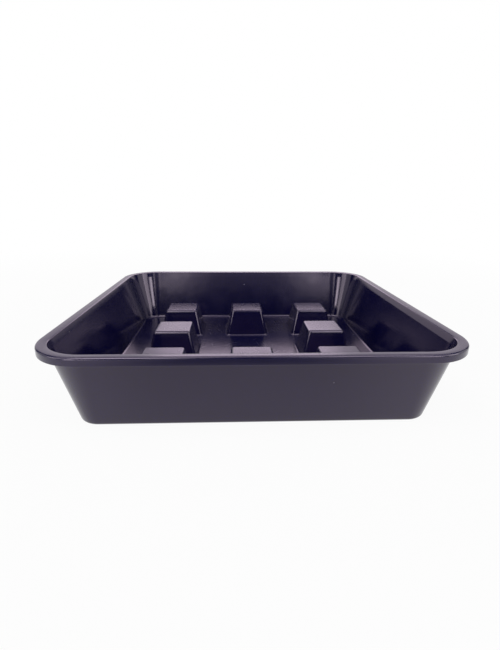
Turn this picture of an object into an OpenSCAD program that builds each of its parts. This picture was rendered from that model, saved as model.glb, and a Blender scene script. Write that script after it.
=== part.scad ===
// Square plant saucer: a tray with leaning walls, a downturned rim and
// eight raised pedestals that hold a pot above the drained water.
// It stands on z = 0 and is centred on x = y = 0. The front is towards -Y.

/* [Rim] */
// Width of the saucer across the outside of the rim
rim_w = 300; // [270:1:340]
// Width of the rim's top, from its outer face to its inner edge
rim_top_w = 7.2; // [6.8:0.1:12]
// Thickness of the rim's top
rim_t = 1.8; // [1.5:0.1:3]
// Radius of the rim's slightly domed top, across its width
rim_dome_r = 25; // [15:1:60]
// How far the domed top falls towards its inner edge
rim_fall = 0.3; // [0.1:0.1:0.6]
// Height of the lip that hangs from the rim's outer edge
lip_h = 6; // [5:0.5:12]
// Thickness of the lip
lip_t = 1.8; // [1.5:0.1:3]
// Rounding of the rim's outer top edge
rim_outer_round = 1.5; // [1:0.1:3]
// Rounding of the rim's inner top edge
rim_inner_round = 0.8; // [0.3:0.1:1.5]
// Rounding of the lip's lower edges
lip_round = 0.6; // [0.2:0.1:0.7]
// Rounding inside the channel under the rim
channel_round = 1; // [0.4:0.1:1.4]
// Height of the plain band inside the rim, measured down from the top
band_h = 5.5; // [4:0.5:10]
// How far the band flares out beyond the wall's plane, over its height
band_flare = 0.4; // [0.1:0.1:0.6]

/* [Wall] */
// Height of the saucer
saucer_h = 61; // [45:1:80]
// Thickness of the wall, measured level
wall_t = 1.8; // [1.5:0.1:3]
// Width across the foot, where the wall's outer face would meet the ground
foot_w = 254.5; // [244:0.5:276]
// Corner radius at the foot, seen from above
foot_corner_r = 15.5; // [14:0.5:30]

/* [Foot] */
// Rounding under the wall's outer edge
foot_round = 4; // [2:0.5:6]
// Width of the flat face that the saucer stands on
stand_w = 5; // [3:0.5:7]
// Fillet between the wall and the floor
floor_fillet = 3; // [1:0.5:6]
// Height of the straight wall on the foot ring, above its rounded edges
foot_straight_h = 1; // [0.5:0.5:4]

/* [Floor] */
// Thickness of the floor
floor_t = 2; // [1.5:0.1:3]
// Height of the floor's underside above the ground
floor_lift = 2.8; // [1:0.1:4]

/* [Pedestals] */
// Distance between the middles of neighbouring pedestals
pedestal_pitch = 74.5; // [60:0.5:85]
// Height of a pedestal above the floor
pedestal_h = 28; // [18:1:36]
// Width of a pedestal's top, between the planes of its sides
pedestal_top_w = 34.5; // [28:0.5:40]
// Width of a pedestal at the floor, between the planes of its sides
pedestal_foot_w = 46.5; // [42:0.5:54]
// Thickness of a pedestal's sides and top
pedestal_t = 1.8; // [1.4:0.1:2.5]
// Rounding of a pedestal's top edges
pedestal_round = 3; // [2:0.1:4]
// Rounding of a pedestal's four slanting edges
pedestal_corner_r = 3; // [2:0.1:5]
// Fillet between a pedestal and the floor
pedestal_fillet = 2; // [1:0.1:3]

/* [Hidden] */
// Steps in each rounded edge of the tray, and in each one of a pedestal
arc_steps = 6;
pedestal_steps = 4;
// Least radius of a rounded edge that another edge has cut down
least_round = 0.2;
plastic = [0.09, 0.085, 0.13];

rim_x = rim_w / 2;
band_x = rim_x - rim_top_w;
lip_z = saucer_h - lip_h;
band_z = saucer_h - band_h;
channel_z = saucer_h - rim_t;

foot_x = foot_w / 2;
floor_z = floor_lift + floor_t;
corner_x = foot_x - foot_corner_r;

// The wall leans from the foot towards the rim. The band leans out a little more, from a fine crease on.
wall_lean = atan2(band_x - band_flare + wall_t - foot_x, saucer_h);
function wall_x(z) = foot_x + z * tan(wall_lean);
function inner_x(z) = wall_x(z) - wall_t;
band_lean = atan2(band_x - inner_x(band_z), band_h);

// How far a rounding reaches along the faces beside it, for a lean from upright
function reach(r, lean) = r * tan(45 - lean / 2);

// The wall stands on the foot ring just above both of the ring's rounded edges.
wall_z = max(floor_z + floor_fillet * (1 - sin(wall_lean)), foot_round * (1 - sin(wall_lean))) + foot_straight_h;
stand_x = foot_x - reach(foot_round, wall_lean);
floor_x = inner_x(floor_z) - reach(floor_fillet, wall_lean);

pedestal_lean = atan2((pedestal_foot_w - pedestal_top_w) / 2, pedestal_h);
// Half the width of the floor's opening, and its corner radius
opening_x = pedestal_foot_w / 2 + reach(pedestal_fillet, pedestal_lean);
opening_r = pedestal_corner_r + pedestal_fillet * cos(pedestal_lean);

// Each pedestal's name, column and row, in a ring round an empty middle
rows = ["front", "middle", "back"];
columns = ["left", "centre", "right"];
PLACES = [
    for (row = [-1:1]) for (column = [-1:1]) if (row != 0 || column != 0)
        [str("pedestal_", rows[row + 1], "_", columns[column + 1]), column, row]
];

function arc(centre, r, from, to, steps = arc_steps) =
    [for (i = [0:steps]) let (a = from + (to - from) * i / steps) centre + r * [cos(a), sin(a)]];

// A square outline with round corners, at height z
function ring(half, r, z) = [
    for (quarter = [0:3]) for (i = [0:pedestal_steps])
        let (turn = 90 * quarter + 45, a = 90 * (quarter + i / pedestal_steps), c = sqrt(2) * (half - r))
            [c * cos(turn) + r * cos(a), c * sin(turn) + r * sin(a), z]
];

// A closed skin over a list of rings, from its first ring to its last
module loft(rings) {
    n = len(rings[0]);
    sides = [
        for (k = [0:len(rings) - 2]) for (i = [0:n - 1])
            let (a = k * n + i, b = k * n + (i + 1) % n) each [[a, a + n, b + n], [a, b + n, b]]
    ];
    first = [for (i = [0:n - 1]) i];
    last = [for (i = [0:n - 1]) len(rings) * n - 1 - i];
    polyhedron(points = [for (r = rings) each r], faces = concat(sides, [first, last]), convexity = 4);
}

// Carries a section, drawn as distance from the middle and height, round the rounded square.
module carry_round(section) {
    for (side = [0:3]) rotate(90 * side) translate([corner_x, corner_x]) {
        rotate_extrude(angle = 90) translate([-corner_x, 0]) polygon(section);
        rotate([90, 0, 0]) linear_extrude(2 * corner_x) translate([-corner_x, 0]) polygon(section);
    }
}

// Downturned rim: a plain band inside, a domed top and a hanging lip outside
module rim() {
    lip_x = rim_x - lip_t;
    // The rounded inner edge touches the band's face and the dome, and so places the dome's middle.
    edge_z = saucer_h - rim_fall - rim_inner_round;
    edge_x = band_x - (saucer_h - edge_z) * tan(band_lean) + rim_inner_round / cos(band_lean);
    inner_span = rim_dome_r - rim_inner_round;
    inner_turn = acos((inner_span - rim_fall) / inner_span);
    dome_x = edge_x + inner_span * sin(inner_turn);
    // The rounded outer edge touches the dome and the lip's outer face.
    outer_span = rim_dome_r - rim_outer_round;
    outer_turn = asin((rim_x - rim_outer_round - dome_x) / outer_span);
    outer_z = saucer_h - rim_dome_r + outer_span * cos(outer_turn);
    dome = arc([dome_x, saucer_h - rim_dome_r], rim_dome_r, 90 - outer_turn, 90 + inner_turn);

    color(plastic) carry_round(concat(
        arc([rim_x - lip_round, lip_z + lip_round], lip_round, -90, 0),
        arc([rim_x - rim_outer_round, outer_z], rim_outer_round, 0, 90 - outer_turn),
        [for (i = [1:arc_steps - 1]) dome[i]],
        arc([edge_x, edge_z], rim_inner_round, 90 + inner_turn, 180 - band_lean),
        [[inner_x(band_z), band_z], [wall_x(band_z), band_z]],
        arc([wall_x(channel_z) + reach(channel_round, wall_lean), channel_z - channel_round],
            channel_round, 180 - wall_lean, 90),
        arc([lip_x - channel_round, channel_z - channel_round], channel_round, 90, 0),
        arc([lip_x + lip_round, lip_z + lip_round], lip_round, 180, 270)
    ));
}

// Leaning wall, from the crease under the rim's band down to the foot ring
module side_wall() {
    color(plastic) carry_round([
        [wall_x(band_z), band_z],
        [inner_x(band_z), band_z],
        [inner_x(wall_z), wall_z],
        [wall_x(wall_z), wall_z]
    ]);
}

// Foot ring: the wall's rounded lower edge, the standing face and the fillet to the floor
module foot_ring() {
    color(plastic) carry_round(concat(
        [[wall_x(wall_z), wall_z], [inner_x(wall_z), wall_z]],
        arc([floor_x, floor_z + floor_fillet], floor_fillet, -wall_lean, -90),
        [[floor_x, floor_lift], [stand_x - stand_w, floor_lift], [stand_x - stand_w, 0]],
        arc([stand_x, foot_round], foot_round, -90, -wall_lean)
    ));
}

// Flat floor, with an opening under each pedestal
module floor_panel() {
    r = floor_x - corner_x;
    color(plastic) translate([0, 0, floor_lift]) linear_extrude(floor_t) difference() {
        union() {
            square([2 * floor_x, 2 * corner_x], center = true);
            square([2 * corner_x, 2 * floor_x], center = true);
            for (x = [-1, 1]) for (y = [-1, 1]) translate(corner_x * [x, y]) circle(r, $fn = 64);
        }
        for (place = PLACES) translate(pedestal_pitch * [place[1], place[2]])
            polygon([for (p = ring(opening_x, opening_r, 0)) [p[0], p[1]]]);
    }
}

// Hollow pedestal: leaning sides with round edges, a flat top, and a fillet that fills the floor's opening
module pedestal(place) {
    inner_r = max(pedestal_corner_r - pedestal_t, least_round);
    inner_round = max(pedestal_round - pedestal_t, least_round);
    ceiling_z = pedestal_h - pedestal_t;
    function side_x(z) = pedestal_foot_w / 2 - z * tan(pedestal_lean);
    function hollow_x(z) = side_x(z) - pedestal_t / cos(pedestal_lean);

    ceiling = arc([hollow_x(ceiling_z) - reach(inner_round, pedestal_lean), ceiling_z - inner_round],
        inner_round, 90, pedestal_lean, pedestal_steps);
    fillet = arc([opening_x, pedestal_fillet], pedestal_fillet, 270, 180 + pedestal_lean, pedestal_steps);
    top = arc([side_x(pedestal_h) - reach(pedestal_round, pedestal_lean), pedestal_h - pedestal_round],
        pedestal_round, pedestal_lean, 90, pedestal_steps);

    color(plastic) translate([pedestal_pitch * place[1], pedestal_pitch * place[2], floor_z]) loft(concat(
        [for (p = ceiling) ring(p[0], max(inner_r + p[0] - ceiling[pedestal_steps][0], least_round), p[1])],
        [ring(hollow_x(-floor_t), inner_r, -floor_t), ring(opening_x, opening_r, -floor_t)],
        [for (p = fillet) ring(p[0], opening_r + p[0] - opening_x, p[1])],
        [for (p = top) ring(p[0], max(pedestal_corner_r + p[0] - top[0][0], least_round), p[1])]
    ));
}

rim();
side_wall();
foot_ring();
floor_panel();
for (place = PLACES) pedestal(place);
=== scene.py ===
# Square plant saucer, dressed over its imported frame. Metres, standing on z = 0, front towards -Y.
import math

import bmesh
import bpy
from mathutils import Matrix, Vector


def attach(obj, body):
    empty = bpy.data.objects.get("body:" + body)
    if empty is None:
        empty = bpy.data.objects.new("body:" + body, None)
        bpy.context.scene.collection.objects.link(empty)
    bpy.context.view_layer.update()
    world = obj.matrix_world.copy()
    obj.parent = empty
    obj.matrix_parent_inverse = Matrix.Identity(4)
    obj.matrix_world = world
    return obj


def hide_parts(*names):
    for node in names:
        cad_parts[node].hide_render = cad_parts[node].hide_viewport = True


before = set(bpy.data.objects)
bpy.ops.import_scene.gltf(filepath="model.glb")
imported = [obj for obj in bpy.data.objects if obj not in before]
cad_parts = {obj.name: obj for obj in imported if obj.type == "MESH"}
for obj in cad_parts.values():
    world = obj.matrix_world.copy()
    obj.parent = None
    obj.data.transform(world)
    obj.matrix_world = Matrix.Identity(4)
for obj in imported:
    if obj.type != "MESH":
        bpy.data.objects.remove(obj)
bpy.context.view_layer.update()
scene = bpy.context.scene
mm = 0.001
weld = 0.002 * mm  # points closer than this become one
print("frame loaded:", len(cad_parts), "nodes")


# Sockets go by name, or by number where a node's names repeat or would be long:
# on Map Range 0 is the value, 1 and 2 are its span, and 3 and 4 are the span of the result
def addNode(tree, kind, inputs=None, **settings):
    node = tree.nodes.new(kind)
    for name, value in settings.items():
        setattr(node, name, value)
    for socket, value in (inputs or {}).items():
        if isinstance(value, bpy.types.NodeSocket):
            tree.links.new(value, node.inputs[socket])
        else:
            node.inputs[socket].default_value = value
    return node


def newSurface(name):
    paint = bpy.data.materials.new(name)
    paint.use_nodes = True
    paint.node_tree.nodes.clear()
    return paint, paint.node_tree


def hexColour(text):  # sRGB to linear
    parts = [int(text[i:i + 2], 16) / 255 for i in (1, 3, 5)]
    return [p / 12.92 if p <= 0.04045 else ((p + 0.055) / 1.055) ** 2.4 for p in parts] + [1.0]


def arc(x, z, radius, start, end, steps):  # angles in degrees
    turns = [math.radians(start + (end - start) * i / steps) for i in range(steps + 1)]
    return [(x + radius * math.cos(t), z + radius * math.sin(t)) for t in turns]


def reach(radius, lean):  # from the corner of a level face and a leaning one to the end of their rounding
    return radius * math.tan(math.pi / 4 - lean / 2)


# The tray as a whole, in millimetres, with the same sizes as the part
tray = {
    "height": 61.0, "rimHalf": 150.0, "rimTop": 7.2, "footHalf": 127.25, "cornerCentre": 111.75,
    "wall": 1.8, "band": 5.5, "bandFlare": 0.4, "floorLift": 2.8, "floorThick": 2.0, "pedestalHeight": 28.0,
    "pathRadius": 30.0, "cornerSteps": 48, "spacing": 2.0, "sharpAngle": 32.0,
}
floorTop = tray["floorLift"] + tray["floorThick"]
pedestalTop = floorTop + tray["pedestalHeight"]
bandHalf = tray["rimHalf"] - tray["rimTop"]
bandFoot = tray["height"] - tray["band"]
wallLean = math.atan2(bandHalf - tray["bandFlare"] + tray["wall"] - tray["footHalf"], tray["height"])
leanDegrees = math.degrees(wallLean)
bandLean = math.atan(math.tan(wallLean) + tray["bandFlare"] / tray["band"])
sharpAngle = math.radians(tray["sharpAngle"])


def outerX(z):
    return tray["footHalf"] + z * math.tan(wallLean)


def innerX(z):
    return outerX(z) - tray["wall"]


def bandX(z):
    return bandHalf - (tray["height"] - z) * math.tan(bandLean)


rimShape = {
    "thick": 1.8, "domeRadius": 25.0, "fall": 0.3, "lip": 6.0, "lipThick": 1.8,
    "outerRound": 1.5, "innerRound": 0.8, "lipRound": 0.6, "channelRound": 1.0, "steps": 8,
    "hold": 0.3,  # a point this far below the rounding keeps the band's face flat
}


def rimSection():
    r, top, steps = rimShape, tray["height"], rimShape["steps"]
    lipX, lipZ = tray["rimHalf"] - r["lipThick"], top - r["lip"]
    channelZ = top - r["thick"]
    edgeZ = top - r["fall"] - r["innerRound"]
    edgeX = bandX(edgeZ) + r["innerRound"] / math.cos(bandLean)
    holdZ = edgeZ + r["innerRound"] * math.sin(bandLean) - r["hold"]
    innerSpan = r["domeRadius"] - r["innerRound"]
    innerTurn = math.acos((innerSpan - r["fall"]) / innerSpan)
    domeX = edgeX + innerSpan * math.sin(innerTurn)
    outerSpan = r["domeRadius"] - r["outerRound"]
    outerTurn = math.asin((tray["rimHalf"] - r["outerRound"] - domeX) / outerSpan)
    outerZ = top - r["domeRadius"] + outerSpan * math.cos(outerTurn)
    tilt, fall = math.degrees(outerTurn), math.degrees(innerTurn)
    return (
        arc(tray["rimHalf"] - r["lipRound"], lipZ + r["lipRound"], r["lipRound"], -90, 0, steps)
        + arc(tray["rimHalf"] - r["outerRound"], outerZ, r["outerRound"], 0, 90 - tilt, steps)
        + arc(domeX, top - r["domeRadius"], r["domeRadius"], 90 - tilt, 90 + fall, steps)[1:-1]
        + arc(edgeX, edgeZ, r["innerRound"], 90 + fall, 180 - math.degrees(bandLean), steps)
        + [(bandX(holdZ), holdZ), (innerX(bandFoot), bandFoot), (outerX(bandFoot), bandFoot)]
        + arc(outerX(channelZ) + reach(r["channelRound"], wallLean), channelZ - r["channelRound"],
              r["channelRound"], 180 - leanDegrees, 90, steps)
        + arc(lipX - r["channelRound"], channelZ - r["channelRound"], r["channelRound"], 90, 0, steps)
        + arc(lipX + r["lipRound"], lipZ + r["lipRound"], r["lipRound"], 180, 270, steps)
    )


footShape = {"round": 4.0, "stand": 5.0, "fillet": 3.0, "straight": 1.0, "floorJoin": 1.0, "steps": 10}
filletRise = footShape["fillet"] * (1 - math.sin(wallLean))
roundRise = footShape["round"] * (1 - math.sin(wallLean))
wallFoot = max(floorTop + filletRise, roundRise) + footShape["straight"]
filletX = innerX(floorTop) - reach(footShape["fillet"], wallLean)
floorEdge = filletX - footShape["floorJoin"]


def wallSection():
    return [(outerX(bandFoot), bandFoot), (innerX(bandFoot), bandFoot),
            (innerX(wallFoot), wallFoot), (outerX(wallFoot), wallFoot)]


def footSection():
    f = footShape
    standX = tray["footHalf"] - reach(f["round"], wallLean)
    innerStandX = standX - f["stand"]
    return (
        [(outerX(wallFoot), wallFoot), (innerX(wallFoot), wallFoot)]
        + arc(filletX, floorTop + f["fillet"], f["fillet"], -leanDegrees, -90, f["steps"])
        + [(floorEdge, floorTop), (floorEdge, tray["floorLift"]),
           (innerStandX, tray["floorLift"]), (innerStandX, 0)]
        + arc(standX, f["round"], f["round"], -90, -leanDegrees, f["steps"])
    )


# What the trees of all pieces share
def newTree(name, inputs):
    tree = bpy.data.node_groups.new(name, "GeometryNodeTree")
    sockets = {label: tree.interface.new_socket(label, in_out="INPUT", socket_type="NodeSocket" + kind)
               for label, kind in inputs.items()}
    tree.interface.new_socket("Geometry", in_out="OUTPUT", socket_type="NodeSocketGeometry")
    identifiers = {label: socket.identifier for label, socket in sockets.items()}
    return tree, tree.nodes.new("NodeGroupInput").outputs, identifiers


def roundedSquare(tree, half, radius, steps):
    side = addNode(tree, "ShaderNodeMath", {0: half, 1: 2.0}, operation="MULTIPLY").outputs[0]
    square = addNode(tree, "GeometryNodeCurvePrimitiveQuadrilateral", {"Width": side, "Height": side})
    return addNode(tree, "GeometryNodeFilletCurve", {
        "Curve": square.outputs[0], "Radius": radius, "Count": steps}, mode="POLY").outputs[0]


# Smooth faces with crisp edges where they turn sharply, then the material
def closeTree(tree, mesh, angle, material):
    soft = addNode(tree, "GeometryNodeSetShadeSmooth", {
        "Geometry": mesh, "Shade Smooth": True}, domain="FACE")
    turn = addNode(tree, "GeometryNodeInputMeshEdgeAngle").outputs["Unsigned Angle"]
    sharp = addNode(tree, "FunctionNodeCompare", {"A": turn, "B": angle},
                    data_type="FLOAT", operation="GREATER_THAN")
    crisp = addNode(tree, "GeometryNodeSetShadeSmooth", {
        "Geometry": soft.outputs[0], "Selection": sharp.outputs[0], "Shade Smooth": False}, domain="EDGE")
    real = addNode(tree, "GeometryNodeRealizeInstances", {"Geometry": crisp.outputs[0]})
    dressed = addNode(tree, "GeometryNodeSetMaterial", {"Geometry": real.outputs[0], "Material": material})
    addNode(tree, "NodeGroupOutput", {"Geometry": dressed.outputs[0]})


def closeShell(shell, mesh):
    bmesh.ops.remove_doubles(shell, verts=shell.verts, dist=weld)
    bmesh.ops.recalc_face_normals(shell, faces=shell.faces)
    shell.to_mesh(mesh)
    shell.free()


def plainMesh(name, tree, identifiers, values):
    holder = bpy.data.objects.new(name, bpy.data.meshes.new(name))
    scene.collection.objects.link(holder)
    nodes = holder.modifiers.new("shape", "NODES")
    nodes.node_group = tree
    for label, value in values.items():
        nodes[identifiers[label]] = value
    made = bpy.data.meshes.new_from_object(holder.evaluated_get(bpy.context.evaluated_depsgraph_get()))
    holder.modifiers.clear()
    shell = bmesh.new()
    shell.from_mesh(made)
    closeShell(shell, made)
    made.name = name
    holder.data = made
    print(name, len(made.polygons), "faces")
    return holder


# A tree that carries a flat section round a rounded square
carryTree, carryIn, carrySockets = newTree("carrySectionRound", {
    "Section": "Object", "Path Half": "Float", "Path Radius": "Float", "Corner Steps": "Int",
    "Spacing": "Float", "Sharp Angle": "Float", "Material": "Material"})
pathCurve = roundedSquare(carryTree, carryIn["Path Half"], carryIn["Path Radius"], carryIn["Corner Steps"])
evenPath = addNode(carryTree, "GeometryNodeResampleCurve", {
    "Curve": pathCurve, "Length": carryIn["Spacing"]}, mode="LENGTH")
sectionInfo = addNode(carryTree, "GeometryNodeObjectInfo", {"Object": carryIn["Section"]})
carried = addNode(carryTree, "GeometryNodeCurveToMesh", {
    "Curve": evenPath.outputs[0], "Profile Curve": sectionInfo.outputs["Geometry"]})
closeTree(carryTree, carried.outputs[0], carryIn["Sharp Angle"], carryIn["Material"])
pathHalf = tray["cornerCentre"] + tray["pathRadius"]


def sectionCurve(name, points):
    curve = bpy.data.curves.new(name, "CURVE")
    line = curve.splines.new("POLY")
    line.points.add(len(points) - 1)
    for point, (x, z) in zip(line.points, points):
        point.co = ((x - pathHalf) * mm, -z * mm, 0, 1)
    line.use_cyclic_u = True
    held = bpy.data.objects.new(name, curve)
    scene.collection.objects.link(held)
    return held


def carriedPiece(name, points):
    section = sectionCurve(name + "Section", points)
    made = plainMesh(name, carryTree, carrySockets, {
        "Section": section, "Path Half": pathHalf * mm, "Path Radius": tray["pathRadius"] * mm,
        "Corner Steps": tray["cornerSteps"], "Spacing": tray["spacing"] * mm,
        "Sharp Angle": sharpAngle, "Material": polypropylene})
    bpy.data.objects.remove(section)
    return made


# Polypropylene, injection moulded in violet black: a deep navy body under a soft violet sheen. The skin
# ripples a little where it sank as it cooled, and it has a fine grain. Faces that look up are scuffed and
# a little duller, most of all the pedestals' tops, and a few specks of dust sit on it. Sizes in millimetres.
plastic = {
    "body": "#040429", "flow": "#070730", "scuffed": "#2c2938", "dust": "#a8a3a6", "sheen": "#ffeeff",
    "ior": 1.65, "rough": (0.12, 0.17),
    "flatRough": 0.08, "topRough": 0.04, "scuffRough": 0.08, "dustRough": 0.5,  # added to the roughness
    "flowSize": 45.0, "flowDetail": 3.0, "glossSize": 22.0, "glossDetail": 4.0, "glossSpan": (0.3, 0.7),
    "faceUp": (0.85, 0.99), "topBand": 1.0,
    "scuffLength": 26.0, "scuffWidth": 0.7, "scuffTurns": (18.0, 77.0, 131.0), "scuffDetail": 1.0,
    "scuffSpan": (0.66, 0.78), "patchSize": 30.0, "patchSpan": (0.42, 0.62),
    "dustGap": 21.0, "dustSize": 0.4, "dustCore": 0.6,
    "rippleSize": 16.0, "rippleDepth": 0.07, "rippleDetail": 1.0,
    "grainSize": 1.1, "grainDepth": 0.0012, "grainDetail": 2.0,  # coarser than the real 0.3 mm, to show
}


def mouldedPolypropylene():
    p = plastic
    made, tree = newSurface("mouldedPolypropylene")
    coords = addNode(tree, "ShaderNodeTexCoord")
    place = coords.outputs["Object"]

    # Slow drift of colour and gloss from the way the melt flowed
    flow = addNode(tree, "ShaderNodeTexNoise", {
        "Vector": place, "Scale": 1 / (p["flowSize"] * mm), "Detail": p["flowDetail"]})
    body = addNode(tree, "ShaderNodeMix", {
        "Factor": flow.outputs[0], "A": hexColour(p["body"]), "B": hexColour(p["flow"])}, data_type="RGBA")
    gloss = addNode(tree, "ShaderNodeTexNoise", {
        "Vector": place, "Scale": 1 / (p["glossSize"] * mm), "Detail": p["glossDetail"]})
    (low, high), (smooth, rough) = p["glossSpan"], p["rough"]
    drift = addNode(tree, "ShaderNodeMapRange", {0: gloss.outputs[0], 1: low, 2: high, 3: smooth, 4: rough})

    # Fine scuffs in three directions, only where a face looks up and only in patches
    upward = addNode(tree, "ShaderNodeSeparateXYZ", {0: coords.outputs["Normal"]}).outputs["Z"]
    low, high = p["faceUp"]
    facing = addNode(tree, "ShaderNodeMapRange", {0: upward, 1: low, 2: high}).outputs[0]
    patch = addNode(tree, "ShaderNodeTexNoise", {"Vector": place, "Scale": 1 / (p["patchSize"] * mm)})
    low, high = p["patchSpan"]
    patchy = addNode(tree, "ShaderNodeMapRange", {0: patch.outputs[0], 1: low, 2: high}).outputs[0]
    along, across = 1 / (p["scuffLength"] * mm), 1 / (p["scuffWidth"] * mm)
    low, high = p["scuffSpan"]
    lines = 0.0
    for turn in p["scuffTurns"]:
        turned = addNode(tree, "ShaderNodeVectorRotate", {
            "Vector": place, "Angle": math.radians(turn)}, rotation_type="Z_AXIS")
        pulled = addNode(tree, "ShaderNodeVectorMath", {
            0: turned.outputs[0], 1: (along, across, along)}, operation="MULTIPLY")
        streak = addNode(tree, "ShaderNodeTexNoise", {
            "Vector": pulled.outputs[0], "Scale": 1.0, "Detail": p["scuffDetail"]})
        thin = addNode(tree, "ShaderNodeMapRange", {0: streak.outputs[0], 1: low, 2: high}).outputs[0]
        lines = addNode(tree, "ShaderNodeMath", {0: lines, 1: thin}, operation="MAXIMUM").outputs[0]
    worn = addNode(tree, "ShaderNodeMath", {0: lines, 1: facing}, operation="MULTIPLY").outputs[0]
    worn = addNode(tree, "ShaderNodeMath", {0: worn, 1: patchy}, operation="MULTIPLY").outputs[0]

    # Specks of dust: small balls of a scattered cell pattern, cut by the surface
    cells = addNode(tree, "ShaderNodeTexVoronoi", {"Vector": place, "Scale": 1 / (p["dustGap"] * mm)})
    edge = p["dustSize"] / p["dustGap"]
    speck = addNode(tree, "ShaderNodeMapRange", {
        0: cells.outputs["Distance"], 1: edge, 2: edge * p["dustCore"]}).outputs[0]

    # Colour: body, then scuffs, then dust
    scuffed = addNode(tree, "ShaderNodeMix", {
        "Factor": worn, "A": body.outputs["Result"], "B": hexColour(p["scuffed"])}, data_type="RGBA")
    dusted = addNode(tree, "ShaderNodeMix", {
        "Factor": speck, "A": scuffed.outputs["Result"], "B": hexColour(p["dust"])}, data_type="RGBA")

    # Roughness: what each kind of place adds to the drift, with the pedestals' tops found by their height
    height = addNode(tree, "ShaderNodeSeparateXYZ", {0: place}).outputs["Z"]
    level = addNode(tree, "ShaderNodeMath", {
        0: height, 1: pedestalTop * mm, 2: p["topBand"] * mm}, operation="COMPARE").outputs[0]
    rubbed = addNode(tree, "ShaderNodeMath", {0: level, 1: facing}, operation="MULTIPLY").outputs[0]
    dull = drift.outputs[0]
    for share, added in ((facing, p["flatRough"]), (rubbed, p["topRough"]), (worn, p["scuffRough"]),
                         (speck, p["dustRough"])):
        dull = addNode(tree, "ShaderNodeMath", {0: share, 1: added, 2: dull},
                       operation="MULTIPLY_ADD", use_clamp=True).outputs[0]

    # The skin's slow ripple, then its grain
    ripple = addNode(tree, "ShaderNodeTexNoise", {
        "Vector": place, "Scale": 1 / (p["rippleSize"] * mm), "Detail": p["rippleDetail"]})
    rippled = addNode(tree, "ShaderNodeBump", {
        "Height": ripple.outputs[0], "Distance": p["rippleDepth"] * mm})
    grain = addNode(tree, "ShaderNodeTexNoise", {
        "Vector": place, "Scale": 1 / (p["grainSize"] * mm), "Detail": p["grainDetail"]})
    grained = addNode(tree, "ShaderNodeBump", {
        "Height": grain.outputs[0], "Distance": p["grainDepth"] * mm, "Normal": rippled.outputs[0]})
    shader = addNode(tree, "ShaderNodeBsdfPrincipled", {
        "Base Color": dusted.outputs["Result"], "Roughness": dull, "IOR": p["ior"],
        "Specular Tint": hexColour(p["sheen"]), "Normal": grained.outputs[0]})
    addNode(tree, "ShaderNodeOutputMaterial", {"Surface": shader.outputs[0]})
    return made


polypropylene = mouldedPolypropylene()
rim = carriedPiece("saucerRim", rimSection())
sideWall = carriedPiece("saucerWall", wallSection())
footRing = carriedPiece("saucerFoot", footSection())

# Pedestals: one lofted cap, set out on a grid of three by three without its middle
cap = {
    "pitch": 74.5, "topHalf": 17.25, "footHalf": 23.25, "thick": 1.8, "round": 3.0, "corner": 3.0,
    "fillet": 2.0, "flange": 1.0, "leastRadius": 0.2, "steps": 8, "cornerSteps": 8,
    "hold": 0.6,  # points this far past each rounding keep the faces flat
    "middleReach": 1.0,  # a place this near the grid's middle stays empty
}
capHeight = tray["pedestalHeight"]
capLean = math.atan2(cap["footHalf"] - cap["topHalf"], capHeight)
flangeHalf = cap["footHalf"] + reach(cap["fillet"], capLean)
flangeRadius = cap["corner"] + cap["fillet"] * math.cos(capLean)
openingHalf, openingRadius = flangeHalf + cap["flange"], flangeRadius + cap["flange"]


def capSideX(z):
    return cap["footHalf"] - z * math.tan(capLean)


def capHollowX(z):
    return capSideX(z) - cap["thick"] / math.cos(capLean)


def capRing(half, radius, z):
    inset = half - radius
    hold = inset - min(cap["hold"], inset)
    corner = [(half, hold)] + arc(inset, inset, radius, 0, 90, cap["cornerSteps"]) + [(hold, half)]
    ring = []
    for quarter in range(4):
        spin = Matrix.Rotation(math.pi / 2 * quarter, 2)
        ring += [(*(spin @ Vector(point)), z) for point in corner]
    return ring


# From the middle of the hollow's ceiling down, round the flange, and up to the middle of the top
def capRings():
    c, steps, least = cap, cap["steps"], cap["leastRadius"]
    tilt = math.degrees(capLean)
    innerRadius = max(c["corner"] - c["thick"], least)
    innerRound = max(c["round"] - c["thick"], least)
    ceilingZ = capHeight - c["thick"]
    ceilingX = capHollowX(ceilingZ) - reach(innerRound, capLean)
    crownX = capSideX(capHeight) - reach(c["round"], capLean)
    ceiling = arc(ceilingX, ceilingZ - innerRound, innerRound, 90, tilt, steps)
    fillet = arc(flangeHalf, c["fillet"], c["fillet"], 270, 180 + tilt, steps)
    crown = arc(crownX, capHeight - c["round"], c["round"], tilt, 90, steps)
    under = -tray["floorThick"]
    rings = [capRing(ceilingX - c["hold"], least, ceilingZ)]
    rings += [capRing(x, max(innerRadius + x - ceiling[-1][0], least), z) for x, z in ceiling]
    rings += [capRing(capHollowX(under), innerRadius, under), capRing(openingHalf, openingRadius, under),
              capRing(openingHalf, openingRadius, 0)]
    rings += [capRing(x, flangeRadius + x - flangeHalf, z) for x, z in fillet]
    for z in (fillet[-1][1] + c["hold"], crown[0][1] - c["hold"]):
        rings.append(capRing(capSideX(z), c["corner"], z))
    rings += [capRing(x, max(c["corner"] + x - crown[0][0], least), z) for x, z in crown]
    rings.append(capRing(crownX - c["hold"], least, capHeight))
    return rings


def capMesh():
    shell = bmesh.new()
    rows = [[shell.verts.new([v * mm for v in point]) for point in ring] for ring in capRings()]
    for low, high in zip(rows, rows[1:]):
        for i in range(len(low)):
            j = (i + 1) % len(low)
            shell.faces.new((low[i], low[j], high[j], high[i]))
    shell.faces.new(rows[0])
    shell.faces.new(rows[-1])
    made = bpy.data.meshes.new("oneCap")
    closeShell(shell, made)
    return made


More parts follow.
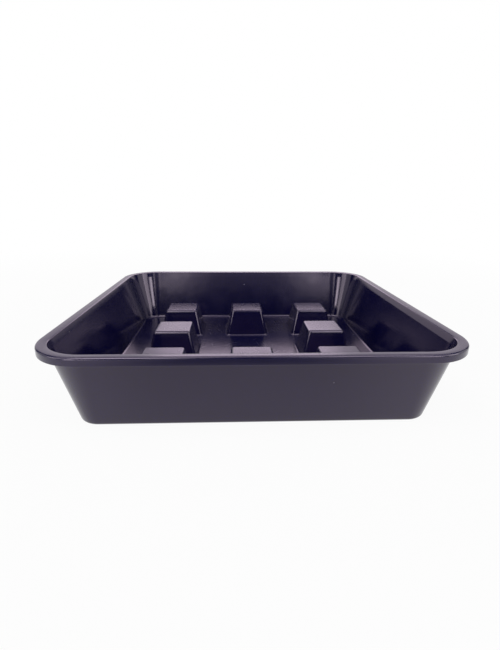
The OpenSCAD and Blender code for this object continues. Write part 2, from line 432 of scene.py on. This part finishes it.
def ringOfEight(tree, pitch):
    span = addNode(tree, "ShaderNodeMath", {0: pitch, 1: 2.0}, operation="MULTIPLY").outputs[0]
    grid = addNode(tree, "GeometryNodeMeshGrid", {
        "Size X": span, "Size Y": span, "Vertices X": 3, "Vertices Y": 3})
    place = addNode(tree, "GeometryNodeInputPosition").outputs[0]
    away = addNode(tree, "ShaderNodeVectorMath", {0: place}, operation="LENGTH").outputs["Value"]
    middle = addNode(tree, "FunctionNodeCompare", {"A": away, "B": cap["middleReach"] * mm},
                     data_type="FLOAT", operation="LESS_THAN")
    return addNode(tree, "GeometryNodeDeleteGeometry", {
        "Geometry": grid.outputs["Mesh"], "Selection": middle.outputs[0]}, domain="POINT").outputs[0]


capTree, capIn, capSockets = newTree("setOutPedestals", {
    "Cap": "Object", "Pitch": "Float", "Lift": "Float", "Sharp Angle": "Float", "Material": "Material"})
capInfo = addNode(capTree, "GeometryNodeObjectInfo", {"Object": capIn["Cap"]})
capsSet = addNode(capTree, "GeometryNodeInstanceOnPoints", {
    "Points": ringOfEight(capTree, capIn["Pitch"]), "Instance": capInfo.outputs["Geometry"]})
liftBy = addNode(capTree, "ShaderNodeCombineXYZ", {"Z": capIn["Lift"]})
capsReal = addNode(capTree, "GeometryNodeRealizeInstances", {"Geometry": capsSet.outputs[0]})
capsLifted = addNode(capTree, "GeometryNodeTransform", {
    "Geometry": capsReal.outputs[0], "Translation": liftBy.outputs[0]})
closeTree(capTree, capsLifted.outputs[0], capIn["Sharp Angle"], capIn["Material"])

oneCap = bpy.data.objects.new("oneCap", capMesh())
scene.collection.objects.link(oneCap)
pedestals = plainMesh("saucerPedestals", capTree, capSockets, {
    "Cap": oneCap, "Pitch": cap["pitch"] * mm, "Lift": floorTop * mm,
    "Sharp Angle": sharpAngle, "Material": polypropylene})
bpy.data.objects.remove(oneCap)

# Floor: a rounded square with the pedestals' openings, filled and given its thickness
floorTree, floorIn, floorSockets = newTree("fillFloor", {
    "Half": "Float", "Radius": "Float", "Opening Half": "Float", "Opening Radius": "Float",
    "Pitch": "Float", "Corner Steps": "Int", "Opening Steps": "Int", "Lift": "Float",
    "Thickness": "Float", "Sharp Angle": "Float", "Material": "Material"})
edgeLine = roundedSquare(floorTree, floorIn["Half"], floorIn["Radius"], floorIn["Corner Steps"])
openingLine = roundedSquare(
    floorTree, floorIn["Opening Half"], floorIn["Opening Radius"], floorIn["Opening Steps"])
openings = addNode(floorTree, "GeometryNodeInstanceOnPoints", {
    "Points": ringOfEight(floorTree, floorIn["Pitch"]), "Instance": openingLine})
openingsReal = addNode(floorTree, "GeometryNodeRealizeInstances", {"Geometry": openings.outputs[0]})
allLines = addNode(floorTree, "GeometryNodeJoinGeometry")
for line in (edgeLine, openingsReal.outputs[0]):
    floorTree.links.new(line, allLines.inputs[0])
sheet = addNode(floorTree, "GeometryNodeFillCurve", {"Curve": allLines.outputs[0]}, mode="TRIANGLES")
sheetLift = addNode(floorTree, "ShaderNodeCombineXYZ", {"Z": floorIn["Lift"]})
sheetSet = addNode(floorTree, "GeometryNodeTransform", {
    "Geometry": sheet.outputs[0], "Translation": sheetLift.outputs[0]})
upwards = addNode(floorTree, "ShaderNodeCombineXYZ", {"Z": 1.0})
raised = addNode(floorTree, "GeometryNodeExtrudeMesh", {
    "Mesh": sheetSet.outputs[0], "Offset": upwards.outputs[0], "Offset Scale": floorIn["Thickness"],
    "Individual": False})
underside = addNode(floorTree, "GeometryNodeFlipFaces", {"Mesh": sheetSet.outputs[0]})
bothSides = addNode(floorTree, "GeometryNodeJoinGeometry")
for part in (raised.outputs[0], underside.outputs[0]):
    floorTree.links.new(part, bothSides.inputs[0])
closedFloor = addNode(floorTree, "GeometryNodeMergeByDistance", {
    "Geometry": bothSides.outputs[0], "Distance": weld})
closeTree(floorTree, closedFloor.outputs[0], floorIn["Sharp Angle"], floorIn["Material"])
floorPanel = plainMesh("saucerFloor", floorTree, floorSockets, {
    "Half": floorEdge * mm, "Radius": (floorEdge - tray["cornerCentre"]) * mm,
    "Opening Half": openingHalf * mm, "Opening Radius": openingRadius * mm, "Pitch": cap["pitch"] * mm,
    "Corner Steps": tray["cornerSteps"], "Opening Steps": cap["cornerSteps"],
    "Lift": tray["floorLift"] * mm, "Thickness": tray["floorThick"] * mm,
    "Sharp Angle": sharpAngle, "Material": polypropylene})

pedestalNodes = [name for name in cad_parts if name.startswith("pedestal_")]
for piece, nodes in ((rim, ["rim"]), (sideWall, ["side_wall"]), (footRing, ["foot_ring"]),
                     (floorPanel, ["floor_panel"]), (pedestals, pedestalNodes)):
    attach(piece, "root")
    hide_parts(*nodes)
print("pieces dressed")


# Studio, in metres: white paper and white surroundings. What the plastic mirrors is seen by reflections
# alone: a dim room with a pale back and ceiling, a dim apron on the paper, and bright sheets in front.
def stageObject(name, mesh, paint):
    made = bpy.data.objects.new(name, mesh)
    mesh.materials.append(paint)
    scene.collection.objects.link(made)
    return made


def mirroredOnly(made):
    made.visible_camera = made.visible_diffuse = made.visible_shadow = False


def oneFace(name, corners):
    mesh = bpy.data.meshes.new(name)
    mesh.from_pydata(corners, [], [(0, 1, 2, 3)])
    return mesh


def levelSheet(name, left, right, near, far, z):
    return oneFace(name, [(left, near, z), (right, near, z), (right, far, z), (left, far, z)])


def seenRay(tree):
    path = addNode(tree, "ShaderNodeLightPath").outputs
    seen = path["Is Camera Ray"]
    for other in ("Is Glossy Ray", "Is Transmission Ray"):
        seen = addNode(tree, "ShaderNodeMath", {0: seen, 1: path[other]},
                       operation="ADD", use_clamp=True).outputs[0]
    return seen


# Near the saucer a little of the paper's own colour shows, and with it the shadow
paper = {"half": 6.0, "white": "#d0d0d0", "nearShare": 0.94, "nearRadius": 0.25, "farRadius": 1.0}


def paleFloor():
    paint, tree = newSurface("whitePaper")
    place = addNode(tree, "ShaderNodeTexCoord").outputs["Object"]
    away = addNode(tree, "ShaderNodeVectorMath", {0: place}, operation="LENGTH").outputs["Value"]
    share = addNode(tree, "ShaderNodeMapRange", {
        0: away, 1: paper["nearRadius"], 2: paper["farRadius"], 3: paper["nearShare"], 4: 1.0})
    white = addNode(tree, "ShaderNodeMath", {0: seenRay(tree), 1: share.outputs[0]}, operation="MULTIPLY")
    plain = addNode(tree, "ShaderNodeBsdfDiffuse", {"Color": hexColour(paper["white"])})
    bright = addNode(tree, "ShaderNodeEmission", {"Strength": 1.0})
    both = addNode(tree, "ShaderNodeMixShader", {
        0: white.outputs[0], 1: plain.outputs[0], 2: bright.outputs[0]})
    addNode(tree, "ShaderNodeOutputMaterial", {"Surface": both.outputs[0]})
    half = paper["half"]
    stageObject("paleFloor", levelSheet("paleFloor", -half, half, -half, half, 0), paint)


sky = {"level": 0.3}  # what lights the object; it is seen as white


def surroundings():
    world = bpy.data.worlds.new("studio")
    scene.world = world
    world.use_nodes = True
    tree = world.node_tree
    tree.nodes.clear()
    strength = addNode(tree, "ShaderNodeMapRange", {0: seenRay(tree), 3: sky["level"], 4: 1.0})
    light = addNode(tree, "ShaderNodeBackground", {"Color": (1, 1, 1, 1), "Strength": strength.outputs[0]})
    addNode(tree, "ShaderNodeOutputWorld", {"Surface": light.outputs[0]})


# Each pair says where a pale part begins and where it is full, in parts of a unit direction: Y to the back,
# Z upwards. The back is dimmer at its foot, and the ceiling leans towards it.
room = {
    "radius": 5.0, "segments": 64, "rings": 32, "tint": "#fff6ff", "dim": 0.015,
    "back": (0.45, 0.75), "backTop": (0.58, 0.40), "backLow": (0.0, 0.14), "backFoot": 0.45,
    "ceiling": (0.76, 0.84), "ceilingTilt": 0.25, "ceilingLevel": 1.2,
}


def dimRoom():
    paint, tree = newSurface("dimRoom")
    place = addNode(tree, "ShaderNodeTexCoord").outputs["Object"]
    way = addNode(tree, "ShaderNodeVectorMath", {0: place}, operation="NORMALIZE").outputs[0]
    way = addNode(tree, "ShaderNodeSeparateXYZ", {0: way}).outputs
    pale = 1.0
    for axis, (start, end), least in (("Y", room["back"], 0.0), ("Z", room["backTop"], 0.0),
                                      ("Z", room["backLow"], room["backFoot"])):
        share = addNode(tree, "ShaderNodeMapRange", {0: way[axis], 1: start, 2: end, 3: least, 4: 1.0},
                        interpolation_type="SMOOTHSTEP").outputs[0]
        pale = addNode(tree, "ShaderNodeMath", {0: share, 1: pale}, operation="MULTIPLY").outputs[0]
    back = addNode(tree, "ShaderNodeMapRange", {0: pale, 3: room["dim"], 4: 1.0}).outputs[0]
    above = addNode(tree, "ShaderNodeMath", {0: way["Y"], 1: room["ceilingTilt"], 2: way["Z"]},
                    operation="MULTIPLY_ADD").outputs[0]
    start, end = room["ceiling"]
    ceiling = addNode(tree, "ShaderNodeMapRange", {0: above, 1: start, 2: end, 4: room["ceilingLevel"]},
                      interpolation_type="SMOOTHSTEP").outputs[0]
    strength = addNode(tree, "ShaderNodeMath", {0: back, 1: ceiling}, operation="MAXIMUM").outputs[0]
    glow = addNode(tree, "ShaderNodeEmission", {"Color": hexColour(room["tint"]), "Strength": strength})
    addNode(tree, "ShaderNodeOutputMaterial", {"Surface": glow.outputs[0]})
    mesh = bpy.data.meshes.new("dimRoom")
    shell = bmesh.new()
    bmesh.ops.create_uvsphere(
        shell, u_segments=room["segments"], v_segments=room["rings"], radius=room["radius"])
    shell.to_mesh(mesh)
    shell.free()
    mirroredOnly(stageObject("dimRoom", mesh, paint))


# A point's place on a sheet, and how far it lies to the side of the sheet's middle
def sheetPlace(tree, middle):
    spot = addNode(tree, "ShaderNodeTexCoord").outputs["Object"]
    place = addNode(tree, "ShaderNodeSeparateXYZ", {0: spot}).outputs
    offset = addNode(tree, "ShaderNodeMath", {0: place["X"], 1: middle}, operation="SUBTRACT").outputs[0]
    return place, addNode(tree, "ShaderNodeMath", {0: offset}, operation="ABSOLUTE").outputs[0]


# The apron dims away from the saucer, from near to far, and is white past its sides
apron = {
    "lift": 0.0005, "half": 3.0, "middle": -0.01, "near": -0.20, "far": -0.29, "sides": (0.05, 0.19),
    "nearLevel": 0.75, "farLevel": 0.25,
}


def frontApron():
    paint, tree = newSurface("dimApron")
    place, aside = sheetPlace(tree, apron["middle"])
    middle = addNode(tree, "ShaderNodeMapRange", {
        0: place["Y"], 1: apron["far"], 2: apron["near"], 3: apron["farLevel"], 4: apron["nearLevel"]},
        interpolation_type="SMOOTHSTEP")
    inside, outside = apron["sides"]
    strength = addNode(tree, "ShaderNodeMapRange", {
        0: aside, 1: inside, 2: outside, 3: middle.outputs[0], 4: 1.0}, interpolation_type="SMOOTHSTEP")
    glow = addNode(tree, "ShaderNodeEmission", {"Strength": strength.outputs[0]})
    addNode(tree, "ShaderNodeOutputMaterial", {"Surface": glow.outputs[0]})
    half, front = apron["half"], -tray["footHalf"] * mm
    mirroredOnly(stageObject(
        "frontApron", levelSheet("frontApron", -half, half, -half, front, apron["lift"]), paint))


# Sheets in front: a soft panel that dims towards its middle, and a strip on each side. Sides, ends, foot and
# top say from where to where the sheet brightens or fades, and levels are those of its middle and its sides.
strip = {
    "away": 0.7, "rise": (0.13, 0.62), "middle": -0.020, "sides": (0.34, 0.46), "ends": (0.48, 0.92),
    "foot": (0.15, 0.22), "top": (0.45, 0.56), "levels": (0.0, 6.0),
}
screens = {
    "panel": {
        "away": 2.0, "span": (-1.0, 1.0), "rise": (0.60, 1.50), "middle": 0.066, "sides": (0.24, 0.58),
        "ends": (0.585, 0.66), "foot": (0.715, 0.820), "top": (1.245, 1.440), "levels": (0.38, 2.8)},
    "stripLeft": {**strip, "span": (-1.0, -0.355)},
    "stripRight": {**strip, "span": (0.315, 1.0)},
}


def frontScreen(name, screen):
    paint, tree = newSurface(name)
    place, aside = sheetPlace(tree, screen["middle"])
    level = 1.0
    for value, (start, end), (low, high) in (
            (aside, screen["sides"], screen["levels"]), (aside, screen["ends"], (1, 0)),
            (place["Z"], screen["foot"], (0, 1)), (place["Z"], screen["top"], (1, 0))):
        share = addNode(tree, "ShaderNodeMapRange", {0: value, 1: start, 2: end, 3: low, 4: high},
                        interpolation_type="SMOOTHSTEP").outputs[0]
        level = addNode(tree, "ShaderNodeMath", {0: share, 1: level}, operation="MULTIPLY").outputs[0]
    glow = addNode(tree, "ShaderNodeEmission", {"Strength": level})
    addNode(tree, "ShaderNodeOutputMaterial", {"Surface": glow.outputs[0]})
    y, (left, right), (low, high) = -screen["away"], screen["span"], screen["rise"]
    corners = [(right, y, low), (left, y, low), (left, y, high), (right, y, high)]
    mirroredOnly(stageObject(name, oneFace(name, corners), paint))


paleFloor()
surroundings()
dimRoom()
frontApron()
for name, screen in screens.items():
    frontScreen(name, screen)
print("studio set")

# Softboxes: turn in degrees from straight behind, clockwise from above; rise in degrees; away and size in
# metres; a radiance of 1 is white
lamps = {
    "keyLeft": {"turn": 248, "rise": 27, "away": 1.5, "size": (0.58, 1.20), "radiance": 2.2},
    "keyRight": {"turn": 113, "rise": 27, "away": 1.5, "size": (0.60, 1.20), "radiance": 2.7},
    "sideLeft": {"turn": 272, "rise": 20, "away": 1.5, "size": (0.90, 0.85), "radiance": 0.7},
    "sideRight": {"turn": 88, "rise": 20, "away": 1.5, "size": (0.95, 0.85), "radiance": 1.0},
    "behind": {"turn": 2, "rise": 24, "away": 1.6, "size": (0.90, 0.36), "radiance": 1.75,
               "tint": "#ffe9ff"},
    "lowLeft": {"turn": 212, "rise": 5, "away": 1.5, "size": (0.60, 0.20), "radiance": 5.5},
    "lowRight": {"turn": 150, "rise": 5, "away": 1.5, "size": (0.60, 0.20), "radiance": 2.5},
    "highLeft": {"turn": 207, "rise": 56, "away": 1.5, "size": (0.50, 0.70), "radiance": 3.0},
    "highRight": {"turn": 150, "rise": 56, "away": 1.5, "size": (0.50, 0.70), "radiance": 2.6},
    "leftTop": {"turn": 235, "rise": 62, "away": 1.5, "size": (0.60, 0.50), "radiance": 4.0},
    "rightTop": {"turn": 128, "rise": 60, "away": 1.5, "size": (0.60, 0.50), "radiance": 1.6},
}
lampAim = Vector((0, 0, tray["height"] / 2 * mm))


def softbox(name, lamp):
    turn, rise = math.radians(lamp["turn"]), math.radians(lamp["rise"])
    level = math.cos(rise)
    at = lamp["away"] * Vector((math.sin(turn) * level, math.cos(turn) * level, math.sin(rise)))
    light = bpy.data.lights.new(name, "AREA")
    light.shape = "RECTANGLE"
    light.size, light.size_y = lamp["size"]
    light.color = hexColour(lamp.get("tint", "#ffffff"))[:3]
    light.energy = math.pi * lamp["size"][0] * lamp["size"][1] * lamp["radiance"]
    made = bpy.data.objects.new(name, light)
    made.location = at
    made.rotation_euler = (lampAim - at).to_track_quat("-Z", "Y").to_euler()
    made.visible_camera = False
    scene.collection.objects.link(made)


for name, lamp in lamps.items():
    softbox(name, lamp)
print("light set")

# Camera: its place and sensor in millimetres, angles in degrees, focal length and frame in pixels of the
# photograph, clip in metres
view = {
    "at": (-15.57, -376.23, 154.50), "yaw": -2.5147, "pitch": 17.816, "roll": 0.4547,
    "focal": 395.2526, "frameLong": 650, "sensor": 36.0, "clip": (0.01, 50.0),
}


def photoCamera():
    data = bpy.data.cameras.new("photoCamera")
    data.sensor_width = view["sensor"]
    data.lens = view["focal"] / view["frameLong"] * view["sensor"]
    data.clip_start, data.clip_end = view["clip"]
    made = bpy.data.objects.new("photoCamera", data)
    yaw, pitch, roll = (math.radians(view[k]) for k in ("yaw", "pitch", "roll"))
    right, ahead = Vector((1, 0, 0)), Vector((0, math.cos(pitch), -math.sin(pitch)))
    up = Vector((0, math.sin(pitch), math.cos(pitch)))
    side = math.cos(roll) * right + math.sin(roll) * up
    rise = -math.sin(roll) * right + math.cos(roll) * up
    turn = Matrix.Rotation(yaw, 3, "Z")
    basis = Matrix((turn @ side, turn @ rise, turn @ -ahead)).transposed()
    made.matrix_world = Matrix.Translation(Vector(view["at"]) * mm) @ basis.to_4x4()
    scene.collection.objects.link(made)
    scene.camera = made


photoCamera()
scene.view_settings.view_transform = "Standard"
print("camera set")
